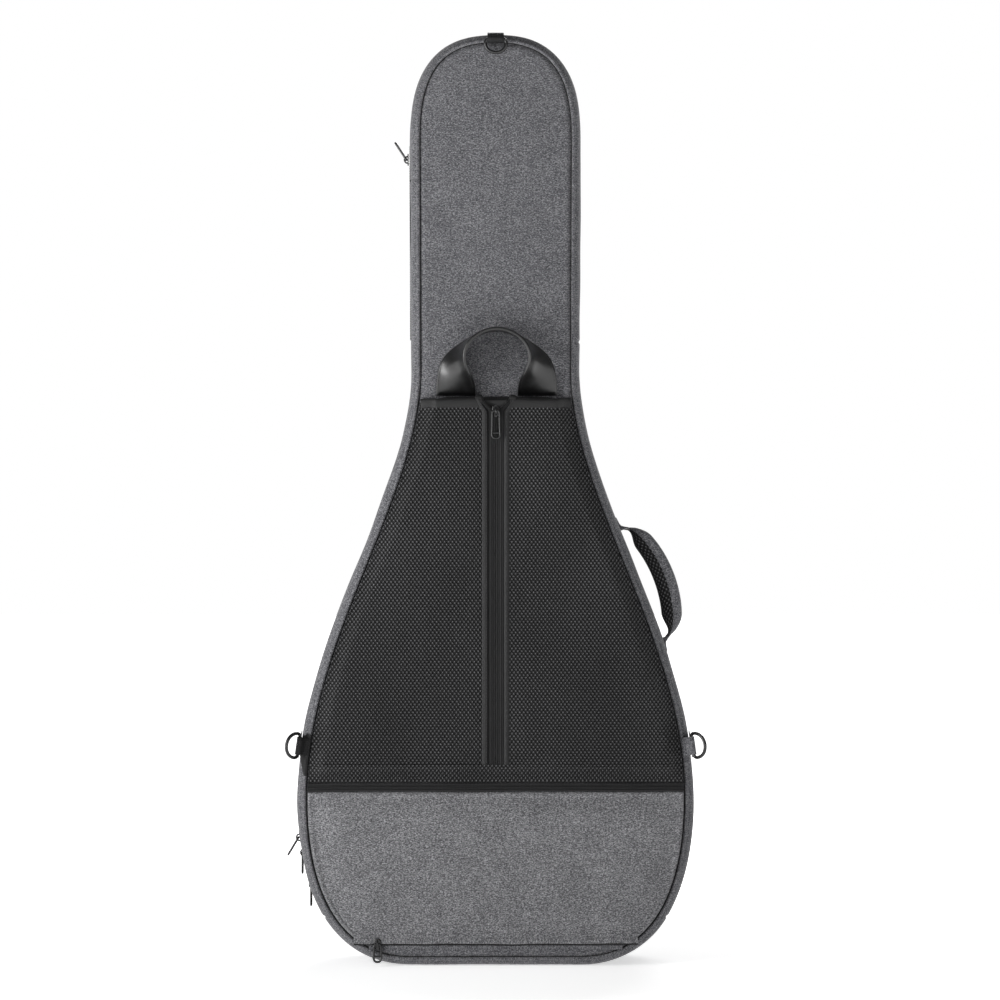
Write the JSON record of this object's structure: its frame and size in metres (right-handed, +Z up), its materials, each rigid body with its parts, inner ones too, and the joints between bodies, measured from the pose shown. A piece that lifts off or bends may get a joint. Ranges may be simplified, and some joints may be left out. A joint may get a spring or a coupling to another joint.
{
  "type": "padded guitar gig bag",
  "caption": "Tall padded soft case for an acoustic guitar, with a zipped lid, mesh strap pocket, haul loop, side handle and D-rings.",
  "frame": {"origin": "on the flat of the bottom gusset, under the bag, on its left-right centre line", "axes": "+Z up along the bag towards the head, -Y out of the carrying side with the mesh pocket, +Y out of the lid, +X towards the side handle"},
  "size_m": [0.4933, 0.2288, 1.0916],
  "materials": {
    "woven_grey": "melange woven polyester, matt",
    "woven_light": "melange woven polyester, lighter, matt",
    "air_mesh": "black spacer mesh, matt",
    "black_webbing": "woven tape, matt",
    "zip_black": "coil zip and tape",
    "leather_black": "smooth, semi-gloss",
    "black_metal": "black, glossy",
    "foam_black": "plush covered foam"
  },
  "bodies": {
    "bag_back": {"back_panel": "woven_grey", "gusset_head": "woven_grey", "gusset_left": "woven_grey", "gusset_right": "woven_grey", "gusset_bottom": "woven_grey", "back_piping": "woven_grey", "main_zip_back": "zip_black", "hinge_spine": "woven_grey", "mesh_side_left": "air_mesh", "mesh_side_right": "air_mesh", "mesh_bottom_tape": "black_webbing", "lower_pocket": "woven_light", "lower_pocket_zip": "zip_black", "haul_anchor": "black_webbing", "top_ring_tab": "black_webbing", "side_tab_left": "black_webbing", "side_tab_right": "black_webbing", "handle_anchor_upper": "woven_grey", "handle_anchor_lower": "woven_grey", "strap_pad_left": "woven_grey", "strap_pad_right": "woven_grey", "strap_hook_left": "black_metal", "strap_hook_right": "black_metal", "neck_cradle": "foam_black", "main_slider_upper": "black_metal", "main_slider_lower": "black_metal"},
    "lid": {"lid_panel": "woven_grey", "lid_gusset_head": "woven_grey", "lid_gusset_left": "woven_grey", "lid_gusset_right": "woven_grey", "lid_gusset_bottom": "woven_grey", "lid_piping": "woven_grey", "main_zip_lid": "zip_black", "front_pocket": "woven_grey", "neck_pocket": "woven_grey", "front_pocket_zip": "zip_black", "neck_pocket_zip": "zip_black", "front_slider": "black_metal"},
    "flap_left": {"mesh_flap_left": "air_mesh", "pocket_zip_left": "zip_black"},
    "flap_right": {"mesh_flap_right": "air_mesh", "pocket_zip_right": "zip_black"},
    "pocket_slider": {"pocket_slider": "black_metal"},
    "pocket_puller": {"pocket_puller": "black_metal"},
    "lower_slider": {"lower_slider": "black_metal"},
    "lower_puller": {"lower_puller": "black_metal"},
    "main_puller_upper": {"main_puller_upper": "black_metal"},
    "main_puller_lower": {"main_puller_lower": "black_metal"},
    "neck_slider": {"neck_slider": "black_metal"},
    "neck_puller": {"neck_puller": "black_metal"},
    "front_puller": {"front_puller": "black_metal"},
    "top_ring": {"top_ring": "black_metal"},
    "side_ring_left": {"side_ring_left": "black_metal"},
    "side_ring_right": {"side_ring_right": "black_metal"},
    "side_handle": {"handle_pad": "air_mesh", "handle_cover": "woven_grey"},
    "haul_loop": {"haul_loop": "leather_black"}
  },
  "joints": [
    {"name": "lid_hinge", "type": "hinge", "parent": "bag_back", "child": "lid", "pos_m": [0.2335, 0.01, 0.21], "axis": [0, 0, -1], "range_deg": [0, 150]},
    {"name": "flap_left_fold", "type": "hinge", "parent": "bag_back", "child": "flap_left", "pos_m": [-0.06328, -0.0895, 0.663], "axis": [0.1136, 0, -0.9935], "range_deg": [0, 130]},
    {"name": "flap_right_fold", "type": "hinge", "parent": "bag_back", "child": "flap_right", "pos_m": [0.06328, -0.0895, 0.663], "axis": [0.1136, 0, 0.9935], "range_deg": [0, 130]},
    {"name": "pocket_slide", "type": "slide", "parent": "flap_left", "child": "pocket_slider", "axis": [0, 0, -1], "range_m": [0, 0.386]},
    {"name": "pocket_puller_flip", "type": "hinge", "parent": "pocket_slider", "child": "pocket_puller", "pos_m": [0, -0.0954, 0.648], "axis": [-1, 0, 0], "range_deg": [0, 165]},
    {"name": "lower_slide", "type": "slide", "parent": "bag_back", "child": "lower_slider", "axis": [1, 0, 0], "range_m": [0, 0.276]},
    {"name": "lower_puller_flip", "type": "hinge", "parent": "lower_slider", "child": "lower_puller", "pos_m": [-0.138, -0.0758, 0.026], "axis": [-1, 0, 0], "range_deg": [0, 150]},
    {"name": "main_puller_upper_flip", "type": "hinge", "parent": "bag_back", "child": "main_puller_upper", "pos_m": [-0.22842, 0.01, 0.12542], "axis": [0, 1, 0], "range_deg": [-10, 140]},
    {"name": "main_puller_lower_flip", "type": "hinge", "parent": "bag_back", "child": "main_puller_lower", "pos_m": [-0.21801, 0.01, 0.08712], "axis": [0, 1, 0], "range_deg": [-15, 130]},
    {"name": "neck_slide", "type": "slide", "parent": "lid", "child": "neck_slider", "axis": [0, 0, -1], "range_m": [0, 0.2]},
    {"name": "neck_puller_flip", "type": "hinge", "parent": "neck_slider", "child": "neck_puller", "pos_m": [-0.10562, 0.0265, 0.94998], "axis": [0, 1, 0], "range_deg": [-145, 10]},
    {"name": "front_puller_flip", "type": "hinge", "parent": "lid", "child": "front_puller", "pos_m": [-0.23449, 0.04, 0.14127], "axis": [0, 1, 0], "range_deg": [-35, 90]},
    {"name": "top_ring_swing", "type": "hinge", "parent": "bag_back", "child": "top_ring", "pos_m": [0, -0.0765, 1.0825], "axis": [-1, 0, 0], "range_deg": [-8, 110]},
    {"name": "side_ring_left_swing", "type": "hinge", "parent": "bag_back", "child": "side_ring_left", "pos_m": [-0.22889, -0.075, 0.25781], "axis": [0.1564, 0, 0.9877], "range_deg": [-50, 50]},
    {"name": "side_ring_right_swing", "type": "hinge", "parent": "bag_back", "child": "side_ring_right", "pos_m": [0.22889, -0.075, 0.25781], "axis": [-0.1564, 0, 0.9877], "range_deg": [-50, 50]},
    {"name": "side_handle_swing", "type": "hinge", "parent": "bag_back", "child": "side_handle", "pos_m": [0.17849, -0.024, 0.44739], "axis": [0.3608, 0, -0.9327], "range_deg": [-35, 35]},
    {"name": "haul_loop_tilt", "type": "hinge", "parent": "bag_back", "child": "haul_loop", "pos_m": [0.001, -0.0735, 0.6665], "axis": [1, 0, 0], "range_deg": [0, 45]}
  ],
  "couplings": [
    {"joint": "flap_right_fold", "follows": "flap_left_fold", "ratio": 1},
    {"joint": "pocket_slide", "follows": "flap_left_fold", "m_per_rad": 0.1697}
  ]
}
